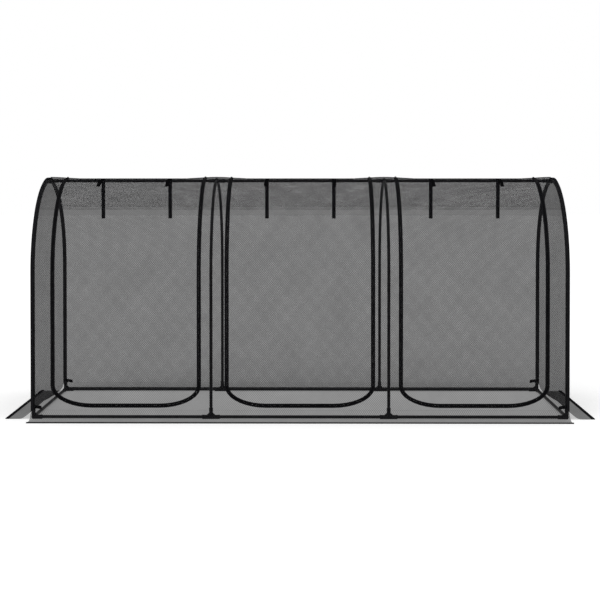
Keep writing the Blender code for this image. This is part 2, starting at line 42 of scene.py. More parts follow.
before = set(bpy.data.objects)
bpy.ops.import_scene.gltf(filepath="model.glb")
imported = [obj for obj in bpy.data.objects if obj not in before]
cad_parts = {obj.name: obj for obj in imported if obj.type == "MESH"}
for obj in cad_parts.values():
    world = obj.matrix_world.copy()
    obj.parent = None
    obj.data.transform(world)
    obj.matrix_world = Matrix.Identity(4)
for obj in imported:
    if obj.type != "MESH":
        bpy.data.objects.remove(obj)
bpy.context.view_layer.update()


X_AXIS, Y_AXIS, Z_AXIS = Vector((1, 0, 0)), Vector((0, 1, 0)), Vector((0, 0, 1))


# Places taken from the frame, in metres

def middle(node):
    """Centre of a node's box."""
    low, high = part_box(node)
    return Vector([(a + b) / 2 for a, b in zip(low, high)])


BAYS = 3
HOOP_X = [middle(f"hoop_{n}_front").x for n in range(1, BAYS + 2)]
RIDGE_Z = middle("ridge_tube_1").z
BASE_Z = middle("base_tube_front_1").z
ARCH_RADIUS = -middle("base_tube_front_1").y
SPRING_Z = RIDGE_Z - ARCH_RADIUS
TUBE_RADIUS = (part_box("ridge_tube_1")[1][1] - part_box("ridge_tube_1")[0][1]) / 2
ARC_RUN = ARCH_RADIUS * math.pi / 2
DOOR_X = {name: middle(f"door_{name}").x for name in ("left", "centre", "right")}
SIDES = {"left": -1, "right": 1}
ROWS = {"front": -1, "rear": 1}

# Sizes of the cover, the same as the solids have unless a comment says otherwise. A run is a length down a
# slope from the ridge.
WALL_OFFSET = 0.0111      # inner face of the cover from a hoop's centre line
RIDGE_OFFSET = 0.0083
HUB_OFFSET = 0.0163       # the cover rides over the hubs of the ridge connectors
LIFT_HALF_LENGTH = 0.190
LIFT_RUN = 0.200
END_PLANE = HOOP_X[-1] + WALL_OFFSET
SEAM_HEIGHT = 0.043
SEAM_RUN = ARC_RUN + SPRING_Z - SEAM_HEIGHT
SKIRT_WIDTH = 0.130
HEM_RUN = SEAM_RUN + SKIRT_WIDTH
HEM_WIDTH = 0.011
END_HEM_WIDTH = 0.016
# Thickness of the hems: the front's and the ends' show as dark lines, and the rear's lies flat
HEM_ROLL = {"front": 0.0046, "rear": 0.0008}
END_HEM_ROLL = 0.0036
# Rows of the end skirts, closer together where a skirt bends
SKIRT_SHARES = (0.07, 0.14, 0.21, 0.29, 0.36, 0.43, 0.5, 0.67, 0.84, 1)
ROOF_STRIP_RUN = 0.395
BINDING_WIDTH = 0.013
DOOR_BOTTOM_RUN = ARC_RUN + SPRING_Z - 0.069
DOOR_CORNER_WIDTH = 0.200
DOOR_CORNER_HEIGHT = 0.100
SIDE_END = DOOR_BOTTOM_RUN - DOOR_CORNER_HEIGHT  # where a door's straight sides end
DOOR_HALF = middle("slider_centre_right").x
TAPE_WIDTH = 0.0108       # 0.0095 in the solids: here with the netting's turned edge under it
DOOR_NET_HALF = DOOR_HALF - TAPE_WIDTH
NET_TUCK = 0.002          # how far the netting runs in under a zip's tape
ZIP_END_LENGTH = 0.036

# Sizes of the straps and ties
STRAP_SPREAD = 0.360
STRAP_WIDTH = 0.020
WEBBING_THICKNESS = 0.0012
TAIL_RUN = 0.199          # where an outer tail ends: 0.180 in the solids
TAIL_FOLD = 0.0135        # length of its folded end
TAIL_BOX = 0.006, 0.026   # runs of the stitched box that holds it
INNER_FOLD = 0.014
FOLD_THICKNESS = 0.0009
TIE_WIDTH = 0.017
TIE_TAIL = 0.031

# Sizes of the connectors
SOCKET_FLOOR = 0.0143     # where a tube ends in its socket, from the middle of the hub
SOCKET_LENGTH = 0.0445
SOCKET_RADIUS = 0.0099
COLLAR_START, COLLAR_END = 0.0385, 0.0448
COLLAR_RADIUS = 0.0107
RIDGE_HUB, BASE_HUB = 0.0150, 0.0106
FOOT_BACK, FOOT_LENGTH, FOOT_HEIGHT = 0.007, 0.051, 0.009
FOOT_HALF, FOOT_TOP_HALF = 0.007, 0.006
RIB_REACH, RIB_THICKNESS = 0.031, 0.0048

# Sizes of the sliders
SLIDER_RUN = 0.004
SLIDER_HEIGHT = 0.0031    # underside of its plate above the cover's inner face
PLATE_THICKNESS = 0.0028
TAB_HEIGHT, TAB_THICKNESS = 0.0030, 0.0012
# Half outlines of its plate and pull tab: aside from the zip, and along it
SLIDER_PLATE = ((0.0026, 0.0002), (0.0048, 0.0022), (0.0055, 0.0055), (0.0048, 0.0096), (0.0036, 0.0138))
PULL_TAB = ((0.0024, 0.0068), (0.0017, 0.0130), (0.0024, 0.0190), (0.0025, 0.0268), (0.0016, 0.0289))
# Two posts and a cap of its bridge: half width, place along the zip and height, below and above,
# and where the bar starts and stops
SLIDER_BRIDGE = (
    ((0.0046, 0.0042, 0.0026), (0.0040, 0.0046, 0.0062), 0.0042, 0.0058),
    ((0.0046, 0.0086, 0.0026), (0.0040, 0.0090, 0.0062), 0.0086, 0.0102),
    ((0.0046, 0.0044, 0.0052), (0.0038, 0.0052, 0.0063), 0.0048, 0.0098),
)

# Heights of the layers above the cover's inner face, and thicknesses of the tapes
NET_LAYER = 0.0004
ROOF_STRIP_LAYER = NET_LAYER + 0.0006
TAPE_LAYER, TAPE_THICKNESS = 0.0009, 0.0010
TAIL_LAYER = 0.0017
ZIP_LAYER, ZIP_THICKNESS = 0.0012, 0.0008
RIDGE_TAPE_THICKNESS = NET_LAYER + 0.0012
RIDGE_SEAM_LAYER, RIDGE_SEAM_THICKNESS = NET_LAYER + 0.0014, 0.0034

# Finish of each kind of piece, and its slot in the frame
TAPE = ("woven_polyester_tape", "black_net")
ZIP_TAPE = ("woven_zip_tape", "black_webbing")
WEBBING = ("polypropylene_webbing", "black_webbing")
COIL = ("nylon_coil", "black_webbing")
TUBE = ("powder_coated_steel", "coated_tube")
PLASTIC = ("moulded_polypropylene", "black_plastic")
METAL = ("painted_zinc", "painted_metal")


# Settings

def hex_colour(text):
    """Turn an sRGB hex value into linear colour."""
    parts = [int(text[n:n + 2], 16) / 255 for n in (1, 3, 5)]
    return (*[c / 12.92 if c <= 0.04045 else ((c + 0.055) / 1.055) ** 2.4 for c in parts], 1)


def colour_property(name, description, text):
    return bpy.props.FloatVectorProperty(
        name=name, description=description, subtype="COLOR", size=4, min=0, max=1, default=hex_colour(text))


def length_property(name, description, default):
    return bpy.props.FloatProperty(name=name, description=description, default=default, unit="LENGTH")


class CageColours(bpy.types.PropertyGroup):
    yarn: colour_property("Yarn", "Colour of the net's yarn", "#19191B")
    tape: colour_property("Tape", "Colour of the bindings, the ridge seam and the hems", "#19191B")
    zip_tape: colour_property("Zip tape", "Colour of the tapes beside the zips' coils", "#161618")
    webbing: colour_property("Webbing", "Colour of the straps and ties", "#0A0A0B")
    thread: colour_property("Thread", "Colour of the stitching", "#1A1A1C")
    coil: colour_property("Coil", "Colour of the zip's coil", "#070708")
    tube: colour_property("Tube", "Colour of the coated tubes", "#101011")
    plastic: colour_property("Plastic", "Colour of the connectors", "#0C0C0D")
    metal: colour_property("Slider", "Colour of the zip sliders", "#101012")
    floor: colour_property("Floor", "Colour of the floor", "#E2E2E2")


class CageSizes(bpy.types.PropertyGroup):
    mesh_width: length_property("Mesh width", "Repeat of the net's holes along the cage", 0.0102)
    mesh_height: length_property("Mesh height", "Repeat of the net's holes up the cage", 0.0126)
    stitch_pitch: length_property("Stitch pitch", "Distance between stitches", 0.006)
    stitch_length: length_property("Stitch length", "Length of one stitch", 0.0042)
    tooth_pitch: length_property("Tooth pitch", "Distance between the turns of a zip's coil", 0.0032)
    ripple: length_property("Ripple", "Height of the slack ripples in the cover", 0.0022)


# Materials

def set_inputs(tree, node, inputs):
    """Set inputs of a node, or link them to a socket or to the first output of a node."""
    for key, value in inputs.items():
        if isinstance(value, bpy.types.Node):
            value = value.outputs[0]
        if isinstance(value, bpy.types.NodeSocket):
            tree.links.new(value, node.inputs[key])
        else:
            node.inputs[key].default_value = value


def add_node(tree, kind, settings=None, inputs=None):
    """Add one node with its settings and its inputs."""
    node = tree.nodes.new(kind)
    for name, value in (settings or {}).items():
        setattr(node, name, value)
    set_inputs(tree, node, inputs or {})
    return node


def new_finish(name, colour, gloss, **values):
    """A material with one Principled shader whose constant values are on its sockets."""
    material = bpy.data.materials.new(name)
    material.use_nodes = True
    tree = material.node_tree
    tree.nodes.clear()
    shader = add_node(tree, "ShaderNodeBsdfPrincipled", inputs={
        "Base Color": tuple(colour), "Specular IOR Level": gloss, **values})
    add_node(tree, "ShaderNodeOutputMaterial", inputs={"Surface": shader.outputs[0]})
    return tree, shader


def paler(colour, times):
    """A colour with that many times the light."""
    return (*[min(c * times, 1) for c in colour[:3]], 1)


def mesh_wave(tree, width, height):
    """From -1 at a crossing of yarns to 1 in a hole, staggered from row to row."""
    uv = add_node(tree, "ShaderNodeUVMap", {"uv_map": "metres"})
    split = add_node(tree, "ShaderNodeSeparateXYZ", inputs={0: uv})
    waves = []
    for socket, repeat in zip(split.outputs, (width, height)):
        turn = add_node(tree, "ShaderNodeMath", {"operation": "MULTIPLY"}, {0: socket, 1: 2 * math.pi / repeat})
        waves.append(add_node(tree, "ShaderNodeMath", {"operation": "COSINE"}, {0: turn}))
    return add_node(tree, "ShaderNodeMath", {"operation": "MULTIPLY"}, {0: waves[0], 1: waves[1]}), uv


def knitted_net(name, openness, swing, creases, cage):
    """Knitted polyethylene netting.

    The eye sees through it to what is behind, a little unevenly, and against the
    light its holes show as a fine grid of paler dots. Creases are faint slanting
    streaks where the netting was folded in its bag.
    """
    tree, shader = new_finish(name, cage.fruit_cage_colours.yarn, 0.0, Roughness=0.72)
    sizes = cage.fruit_cage_sizes
    wave, uv = mesh_wave(tree, sizes.mesh_width, sizes.mesh_height)
    noise = add_node(tree, "ShaderNodeTexNoise", inputs={
        "Vector": uv, "Scale": 7.0, "Detail": 3.0, "Roughness": 0.6})
    uneven = add_node(tree, "ShaderNodeMapRange", inputs={0: noise, 1: 0.0, 2: 1.0, 3: -0.05, 4: 0.05})
    holes = add_node(tree, "ShaderNodeMath", {"operation": "MULTIPLY_ADD"}, {0: wave, 1: swing, 2: openness})
    slant = add_node(tree, "ShaderNodeMapping", inputs={
        "Vector": uv, "Rotation": (0, 0, math.radians(14)), "Scale": (6.0, 70.0, 1.0)})
    fold = add_node(tree, "ShaderNodeTexNoise", inputs={"Vector": slant, "Scale": 1.0, "Detail": 1.0})
    streak = add_node(tree, "ShaderNodeMapRange", inputs={0: fold, 1: 0.60, 2: 0.70, 3: 0.0, 4: creases})
    faded = add_node(tree, "ShaderNodeMath", {"operation": "ADD"}, {0: uneven, 1: streak})
    through = add_node(tree, "ShaderNodeMath", {"operation": "ADD"}, {0: holes, 1: faded})
    alpha = add_node(tree, "ShaderNodeMath", {"operation": "SUBTRACT", "use_clamp": True}, {0: 1.0, 1: through})
    bump = add_node(tree, "ShaderNodeBump", {"invert": True}, {
        "Strength": 0.35, "Distance": 0.0006, "Height": wave})
    set_inputs(tree, shader, {"Alpha": alpha, "Normal": bump})


def woven_tape(name, colour, rib, roughness=0.8):
    """Woven tape: fine ribs across it, matt all over, and faint wear."""
    tree, shader = new_finish(name, colour, 0.0, Roughness=roughness)
    uv = add_node(tree, "ShaderNodeUVMap", {"uv_map": "metres"})
    ribs = add_node(tree, "ShaderNodeTexWave", {"bands_direction": "Y"}, {
        "Vector": uv, "Scale": 1 / (rib * 2 * math.pi), "Distortion": 0.4})
    weft = add_node(tree, "ShaderNodeTexWave", {"bands_direction": "X"}, {
        "Vector": uv, "Scale": 1 / (rib * 1.6 * math.pi), "Distortion": 0.3})
    weave = add_node(tree, "ShaderNodeMath", {"operation": "MULTIPLY"}, {
        0: ribs.outputs["Fac"], 1: weft.outputs["Fac"]})
    wear = add_node(tree, "ShaderNodeTexNoise", inputs={"Vector": uv, "Scale": 40.0, "Detail": 4.0})
    worn = add_node(tree, "ShaderNodeMath", {"operation": "MULTIPLY"}, {0: weave, 1: wear.outputs["Fac"]})
    blend = add_node(tree, "ShaderNodeMix", {"data_type": "RGBA"}, {
        0: worn, 6: tuple(colour), 7: paler(colour, 1.9)})
    bump = add_node(tree, "ShaderNodeBump", inputs={"Strength": 0.5, "Distance": 0.0004, "Height": weave})
    set_inputs(tree, shader, {"Base Color": blend.outputs[2], "Normal": bump})


def grained_finish(name, colour, roughness, metallic, grain, depth, gloss):
    """A moulded or coated surface: grain in its gloss and height, paler where it is rubbed."""
    tree, shader = new_finish(name, colour, gloss, Metallic=metallic)
    place = add_node(tree, "ShaderNodeTexCoord").outputs["Object"]
    fine = add_node(tree, "ShaderNodeTexNoise", inputs={"Vector": place, "Scale": 1 / grain, "Detail": 2.0})
    broad = add_node(tree, "ShaderNodeTexNoise", inputs={
        "Vector": place, "Scale": 9.0, "Detail": 5.0, "Roughness": 0.65}).outputs["Fac"]
    rough = add_node(tree, "ShaderNodeMapRange", inputs={
        0: broad, 1: 0.3, 2: 0.7, 3: roughness - 0.08, 4: roughness + 0.08})
    share = add_node(tree, "ShaderNodeMapRange", inputs={0: broad, 1: 0.55, 2: 0.8, 3: 0.0, 4: 0.6})
    blend = add_node(tree, "ShaderNodeMix", {"data_type": "RGBA"}, {
        0: share, 6: tuple(colour), 7: paler(colour, 1.7)})
    bump = add_node(tree, "ShaderNodeBump", inputs={
        "Strength": 0.3, "Distance": depth, "Height": fine.outputs["Fac"]})
    set_inputs(tree, shader, {"Roughness": rough, "Base Color": blend.outputs[2], "Normal": bump})


def finish(name):
    """Find a finish, and make them all the first time."""
    if name not in bpy.data.materials:
        cage = bpy.context.scene
        colours = cage.fruit_cage_colours
        # The netting's holes let a bit less than half of the view through, fewer in the ends and the skirts.
        # The doubled strip lies over it and takes away about a seventh of the rest.
        knitted_net("knitted_polyethylene_net", 0.416, 0.16, 0.0, cage)
        knitted_net("knitted_roof_strip", 0.86, 0.06, 0.14, cage)
        knitted_net("knitted_end_net", 0.32, 0.13, 0.0, cage)
        knitted_net("knitted_skirt_net", 0.395, 0.15, 0.0, cage)
        # Woven polyester and polypropylene are matt, the webbing a little smoother and darker than the tapes.
        # Their ribs are 1 mm apart, and drawn 2.4 to 3 mm apart so that they show.
        woven_tape("woven_polyester_tape", colours.tape, 0.003)
        woven_tape("woven_zip_tape", colours.zip_tape, 0.0026)
        woven_tape("polypropylene_webbing", colours.webbing, 0.0024, 0.62)
        # Bonded nylon thread is matt, and a shade lighter than the cloth under it
        grained_finish("bonded_nylon_thread", colours.thread, 0.60, 0.0, 0.0007, 0.0001, 0.02)
        # Powder coat has a fine orange peel about 1 mm across
        grained_finish("powder_coated_steel", colours.tube, 0.42, 0.0, 0.0011, 0.0002, 0.2)
        # Moulded polypropylene has spark grain of about half a millimetre
        grained_finish("moulded_polypropylene", colours.plastic, 0.52, 0.0, 0.0006, 0.0002, 0.2)
        # Black paint on zinc, worn at its rubbed places
        grained_finish("painted_zinc", colours.metal, 0.45, 0.1, 0.0008, 0.0001, 0.1)
        # Nylon coil is dull black, with a faint gloss along each turn
        grained_finish("nylon_coil", colours.coil, 0.45, 0.0, 0.0009, 0.0001, 0.03)
    return bpy.data.materials[name]


# Shape of the cover

def smooth_fall(share):
    """From 1 at 0 to 0 at 1, level at both ends."""
    share = min(max(share, 0), 1)
    return 1 - share * share * (3 - 2 * share)


def from_hoop(x):
    """Distance along the cage to the nearest hoop."""
    return min(abs(x - place) for place in HOOP_X)


def cover_offset(x, run):
    """Distance of the cover's inner face from the hoops' centre surface."""
    ridge = RIDGE_OFFSET + (HUB_OFFSET - RIDGE_OFFSET) * smooth_fall(from_hoop(x) / LIFT_HALF_LENGTH)
    return WALL_OFFSET + (ridge - WALL_OFFSET) * smooth_fall(run / LIFT_RUN)


def ripple(x, run):
    """Slack in the netting: nothing at the hoops, the ridge and the ground.

    It grows over 100 mm beside a hoop and 150 mm below the ridge's rise, and ends 20 mm above the seam.
    """
    hold = (1 - smooth_fall((from_hoop(x) - 0.02) / 0.10)) * (1 - smooth_fall((run - LIFT_RUN) / 0.15))
    hold *= smooth_fall((run - SEAM_RUN + 0.14) / 0.12)
    wave = 0.6 * math.sin(x * 24 + 1.3) * math.sin(run * 15 + 0.4) + 0.4 * math.sin((x + run) * 37)
    return bpy.context.scene.fruit_cage_sizes.ripple * hold * wave


def skirt_point(run, layer, steepness=2):
    """Outward reach and height of the skirt, at a run from the seam."""
    flat = min(run / SKIRT_WIDTH / 0.5, 1)
    return run + layer * (1 - flat), SEAM_HEIGHT * (1 - flat) ** steepness + layer * flat


def slope_place(facing):
    """Placing function of the front (facing -1) or rear (facing 1) slope, whose plan is x and run."""
    def place(x, run, layer):
        offset = cover_offset(x, run) + layer + ripple(x, run)
        if run < ARC_RUN:
            angle = run / ARCH_RADIUS
            out = (ARCH_RADIUS + offset) * math.sin(angle)
            height = SPRING_Z + (ARCH_RADIUS + offset) * math.cos(angle)
        elif run <= SEAM_RUN:
            out = ARCH_RADIUS + offset
            height = SPRING_Z + ARC_RUN - run
        else:
            reach, height = skirt_point(run - SEAM_RUN, layer)
            out = ARCH_RADIUS + WALL_OFFSET + reach
        return Vector((x, facing * out, height))
    return place


def end_place(facing):
    """Placing function of an end wall, whose plan is y and height, less than the seam's on the skirt.

    Towards the rear the skirt drops more steeply before it lies on the ground.
    """
    def place(y, height, layer):
        if height >= SEAM_HEIGHT:
            return Vector((facing * (END_PLANE + layer), y, height))
        reach, low = skirt_point(SEAM_HEIGHT - height, layer, 6 - 4 * smooth_fall(y / 0.35))
        return Vector((facing * (END_PLANE + reach), y, low))
    return place


def binding_place(facing, row):
    """Placing function of the binding: run down the hoop, and aside from the edge.

    Below 0 aside lies on the slope, above 0 it lies on the end wall.
    """
    slope = slope_place(row)

    def place(run, aside, layer):
        if aside <= 0:
            return slope(facing * (END_PLANE + aside), run, layer)
        edge = slope(facing * END_PLANE, run, -aside)
        return Vector((facing * (END_PLANE + layer), edge.y, edge.z))
    return place


def steps(first, last, count):
    """Values from first to last in a count of equal steps."""
    return [first + (last - first) * n / count for n in range(count + 1)]


def plan_grid(columns, rows):
    """Plan points in rows."""
    return [[(a, b) for a in columns] for b in rows]


def whole_length(reach=END_PLANE):
    """Columns along the whole cage, with one at each hoop."""
    return sorted(set(steps(-reach, reach, 120) + HOOP_X))


def post_edges(tuck=0):
    """Left and right edge of each post of netting between and beside the doors."""
    edges = [-END_PLANE]
    for centre_x in DOOR_X.values():
        edges += [centre_x - DOOR_HALF - tuck, centre_x + DOOR_HALF + tuck]
    edges.append(END_PLANE)
    return list(zip(edges[::2], edges[1::2]))


def slope_runs(last=HEM_RUN):
    """Rows that follow the arch closely and the straight wall loosely, with no sliver before the last."""
    runs = steps(0, ARC_RUN, 30) + steps(ARC_RUN, SEAM_RUN, 24)[1:]
    middle_run = SEAM_RUN + SKIRT_WIDTH / 2
    runs += steps(SEAM_RUN, middle_run, 7)[1:] + steps(middle_run, HEM_RUN, 3)[1:]
    return [run for run in runs if run < last - 0.002] + [last]


def zip_bottom(centre_x, grow):
    """The lower part of a door's zip line, from its left side round to its right side."""
    inner = DOOR_HALF - DOOR_CORNER_WIDTH
    left, right = ([(centre_x + side * (inner + (DOOR_CORNER_WIDTH + grow) * math.cos(turn)),
                     SIDE_END + (DOOR_CORNER_HEIGHT + grow) * math.sin(turn))
                    for turn in steps(0, math.pi / 2, 9)[::-side]] for side in (-1, 1))
    flat = [(x, DOOR_BOTTOM_RUN + grow) for x in steps(centre_x - inner, centre_x + inner, 14)[1:-1]]
    return left + flat + right


def zip_line(centre_x, grow, top=0.0, count=64):
    """A door's zip line, grown outward, from one upper end round to the other."""
    down = steps(top, SIDE_END, count)[:-1]
    half = DOOR_HALF + grow
    left = [(centre_x - half, run) for run in down]
    return left + zip_bottom(centre_x, grow) + [(centre_x + half, run) for run in reversed(down)]


# Builders

def add_object(name, data):
    thing = bpy.data.objects.new(name, data)
    bpy.context.scene.collection.objects.link(thing)
    return thing


def link_piece(name, mesh, look, body, stands_for=()):
    """Make an object at the origin from a mesh in place, give it its finish, hang it on its body and hide the parts
    it stands for.
    """
    finish_name, slot = look
    mesh.name = name
    mesh.materials.clear()
    mesh.materials.append(finish(finish_name))
    piece = add_object(name, mesh)
    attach(piece, body)
    if stands_for:
        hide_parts(*stands_for)
    return piece


def plain_mesh(bm):
    mesh = bpy.data.meshes.new("plain")
    bm.to_mesh(mesh)
    bm.free()
    return mesh


def finished_mesh(bm, angle=35):
    """A mesh from a bmesh, which is smooth except where it turns by more than an angle in degrees."""
    mesh = plain_mesh(bm)
    mesh.shade_smooth()
    mesh.set_sharp_from_angle(angle=math.radians(angle))
    return mesh


def applied_mesh(shape):
    """The mesh of an object with its modifiers applied. The object is removed."""
    bpy.context.view_layer.update()
    made = bpy.data.meshes.new_from_object(shape.evaluated_get(bpy.context.evaluated_depsgraph_get()))
    rough = shape.data
    shape.modifiers.clear()
    bpy.data.objects.remove(shape)
    bpy.data.meshes.remove(rough)
    return made


def cloth_mesh(grids, place, layer, thickness=0.0):
    """Cloth over grids of plan points: one surface, or a closed tape if it has a thickness.

    The UV map holds the plan in metres, so a weave keeps its real size.
    """
    bm = bmesh.new()
    uv = bm.loops.layers.uv.new("metres")

    def add_face(corners):
        if len({vert for vert, _ in corners}) == len(corners):
            face = bm.faces.new([vert for vert, _ in corners])
            for loop, (_, plan) in zip(face.loops, corners):
                loop[uv].uv = plan

    for grid in grids:
        skins = []
        for height in ([layer] if not thickness else [layer + thickness, layer]):
            skins.append([[(bm.verts.new(place(*plan, height)), plan) for plan in row] for row in grid])
        for number, skin in enumerate(skins):
            for row, following in zip(skin, skin[1:]):
                for n in range(len(row) - 1):
                    corners = [row[n], following[n], following[n + 1], row[n + 1]]
                    add_face(corners if number == 0 else corners[::-1])
        if thickness:
            outer, inner = skins
            bottom, side = len(grid) - 1, len(grid[0]) - 1
            rim = [(i, 0) for i in range(bottom)] + [(bottom, j) for j in range(side)]
            rim += [(i, side) for i in range(bottom, 0, -1)] + [(0, j) for j in range(side, 0, -1)]
            for (a, b), (c, d) in zip(rim, rim[1:] + rim[:1]):
                add_face([outer[a][b], inner[a][b], inner[c][d], outer[c][d]])
    bm.normal_update()
    if thickness:
        bmesh.ops.recalc_face_normals(bm, faces=bm.faces)
    else:
        face = max(bm.faces, key=lambda item: item.calc_area())
        plan = face.loops[0][uv].uv
        if (place(*plan, layer + 0.001) - place(*plan, layer)).dot(face.normal) < 0:
            bmesh.ops.reverse_faces(bm, faces=bm.faces)
    return finished_mesh(bm)


def add_net(name, grid, place, finish_name, node, body="cage", layer=NET_LAYER):
    """A sheet of netting that stands for a node."""
    piece = link_piece(name, cloth_mesh([grid], place, layer), (finish_name, "black_net"), body, [node])


def add_tape(name, grids, place, layer, thickness, look, body="cage", stands_for=()):
    """A piece of closed tape over grids of the plan."""
    link_piece(name, cloth_mesh(grids, place, layer, thickness), look, body, stands_for)


def sweep_mesh(bm, path, radius, sides):
    """Add a closed round bar to a bmesh. Its path runs along x, or else in a plane across x."""
    side_vector = Y_AXIS if abs((path[-1] - path[0]).x) > 0.001 else X_AXIS
    rings = []
    for n, point in enumerate(path):
        tangent = (path[min(n + 1, len(path) - 1)] - path[max(n - 1, 0)]).normalized()
        up = tangent.cross(side_vector).normalized()
        turns = [2 * math.pi * m / sides for m in range(sides)]
        rings.append([bm.verts.new(point + radius * (math.cos(a) * side_vector + math.sin(a) * up)) for a in turns])
    for ring, following in zip(rings, rings[1:]):
        for m in range(sides):
            bm.faces.new((ring[m], ring[(m + 1) % sides], following[(m + 1) % sides], following[m]))
    bm.faces.new(rings[0][::-1])
    bm.faces.new(rings[-1])


def repeat_tree(name):
    """Geometry nodes that set small rounded pieces along lines, turned to face outwards."""
    tree = bpy.data.node_groups.new(name, "GeometryNodeTree")
    for label, kind in (("Geometry", "Geometry"), ("Pitch", "Float"), ("Length", "Float"), ("Width", "Float"),
                        ("Height", "Float"), ("Seed", "Int"), ("Material", "Material")):
        tree.interface.new_socket(label, in_out="INPUT", socket_type=f"NodeSocket{kind}")
    tree.interface.new_socket("Geometry", in_out="OUTPUT", socket_type="NodeSocketGeometry")
    given = add_node(tree, "NodeGroupInput").outputs
    line = add_node(tree, "GeometryNodeMeshToCurve", inputs={0: given["Geometry"]})
    spaced = add_node(tree, "GeometryNodeResampleCurve", {"mode": "LENGTH"}, {
        "Curve": line, "Length": given["Pitch"]})
    tangent = add_node(tree, "GeometryNodeInputTangent")
    outward = add_node(tree, "GeometryNodeInputNamedAttribute", {"data_type": "FLOAT_VECTOR"}, {"Name": "outward"})
    along = add_node(tree, "FunctionNodeAlignRotationToVector", {"axis": "X"}, {"Vector": tangent})
    facing = add_node(tree, "FunctionNodeAlignRotationToVector", {"axis": "Z", "pivot_axis": "X"}, {
        "Rotation": along, "Vector": outward})
    uneven = add_node(tree, "FunctionNodeRandomValue", {"data_type": "FLOAT"}, {
        "Min": 0.92, "Max": 1.08, "Seed": given["Seed"]})
    uneven_socket = [o for o in uneven.outputs if o.enabled][0]
    size = add_node(tree, "ShaderNodeCombineXYZ", inputs={
        0: given["Length"], 1: given["Width"], 2: given["Height"]})
    scale = add_node(tree, "ShaderNodeVectorMath", {"operation": "SCALE"}, {0: size, "Scale": uneven_socket})
    bead = add_node(tree, "GeometryNodeMeshIcoSphere", inputs={"Radius": 0.5, "Subdivisions": 1})
    soft = add_node(tree, "GeometryNodeSetShadeSmooth", inputs={0: bead})
    placed = add_node(tree, "GeometryNodeInstanceOnPoints", inputs={
        "Points": spaced, "Instance": soft, "Rotation": facing, "Scale": scale})
    real = add_node(tree, "GeometryNodeRealizeInstances", inputs={0: placed})
    painted = add_node(tree, "GeometryNodeSetMaterial", inputs={0: real, "Material": given["Material"]})
    add_node(tree, "NodeGroupOutput", inputs={0: painted})
    return tree


def add_repeats(name, lines, place, layer, look, body, pitch, size):
    """Set stitches or teeth along lines of the plan, and turn the result into a plain mesh."""
    points, outs, edges = [], [], []
    for line in lines:
        for n, plan in enumerate(line):
            if n:
                edges.append((len(points) - 1, len(points)))
            here = place(*plan, layer)
            points.append(here)
            outs.append((place(*plan, layer + 0.001) - here).normalized())
    mesh = bpy.data.meshes.new(name)
    mesh.from_pydata(points, edges, [])
    outward = mesh.attributes.new("outward", "FLOAT_VECTOR", "POINT")
    outward.data.foreach_set("vector", [c for out in outs for c in out])
    guide = add_object(f"{name}_guide", mesh)
    tree = bpy.data.node_groups.get("repeat along lines") or repeat_tree("repeat along lines")
    modifier = guide.modifiers.new("repeats", "NODES")
    modifier.node_group = tree
    values = {"Pitch": pitch, "Length": size[0], "Width": size[1], "Height": size[2], "Seed": 1,
              "Material": finish(look[0])}
    for item in tree.interface.items_tree:
        if item.in_out == "INPUT" and item.name in values:
            modifier[item.identifier] = values[item.name]
    made = applied_mesh(guide)
    if not made.polygons:
        raise RuntimeError(f"{name}: nothing was set along its lines")
    link_piece(name, made, look, body)


def sew(name, lines, place, layer, kind, body="cage"):
    """Stitches along lines of the plan: on netting, on a zip's tape or, short and close, on webbing."""
    sizes = bpy.context.scene.fruit_cage_sizes
    slot, pitch, size = {
        "netting": ("black_net", sizes.stitch_pitch, (sizes.stitch_length, 0.0011, 0.0009)),
        "zip": ("black_webbing", sizes.stitch_pitch, (sizes.stitch_length, 0.0010, 0.0008)),
        "webbing": ("black_webbing", 0.0028, (0.0022, 0.0009, 0.0008)),
    }[kind]
    add_repeats(name, lines, place, layer, ("bonded_nylon_thread", slot), body, pitch, size)


# Operators: the netting

class CageNets(bpy.types.Operator):
    """Knit the front, rear and end netting of the cage"""
    bl_idname = "fruit_cage.nets"
    bl_label = "Fixed netting"

    def execute(self, context):
        front, rear = slope_place(-1), slope_place(1)
        posts = post_edges(NET_TUCK)
        for number, (left, right) in enumerate(posts, 1):
            grid = plan_grid(steps(left, right, 8), slope_runs(SIDE_END))
            add_net(f"net_front_post_{number}", grid, front, "knitted_polyethylene_net", "front_net")
        tops = []
        for (left, right), centre_x in zip(posts, DOOR_X.values()):
            tops += [(x, SIDE_END) for x in steps(left, right, 8)[:-1]] + zip_bottom(centre_x, NET_TUCK)
        tops += [(x, SIDE_END) for x in steps(*posts[-1], 8)[1:]]
        grid = [[(x, top + (SEAM_RUN - top) * share) for x, top in tops] for share in steps(0, 1, 8)]
        add_net("net_front_sill", grid, front, "knitted_polyethylene_net", "front_net")
        grid = plan_grid(whole_length(), [run for run in slope_runs() if run >= SEAM_RUN])
        for row, place, above in (("front", front, "net_front_sill"), ("rear", rear, "net_rear")):
            add_net(f"net_skirt_{row}", grid, place, "knitted_skirt_net", f"{row}_net")
        grid = plan_grid(whole_length(), slope_runs(SEAM_RUN))
        add_net("net_rear", grid, rear, "knitted_polyethylene_net", "rear_net")
        edge = [rear(END_PLANE, run, 0) for run in steps(0, ARC_RUN, 26)]
        arch = [(-p.y, p.z) for p in reversed(edge)] + [(p.y, p.z) for p in edge[1:]]
        grid = [[(y, top + (SEAM_HEIGHT - top) * share) for y, top in arch] for share in steps(0, 1, 30)]
        grid += [[(y, SEAM_HEIGHT - SKIRT_WIDTH * share) for y, _ in arch] for share in SKIRT_SHARES]
        for (name, facing), hoop in zip(SIDES.items(), (1, BAYS + 1)):
            add_net(f"net_end_{name}", grid, end_place(facing), "knitted_end_net", f"end_net_{name}")
        return {"FINISHED"}


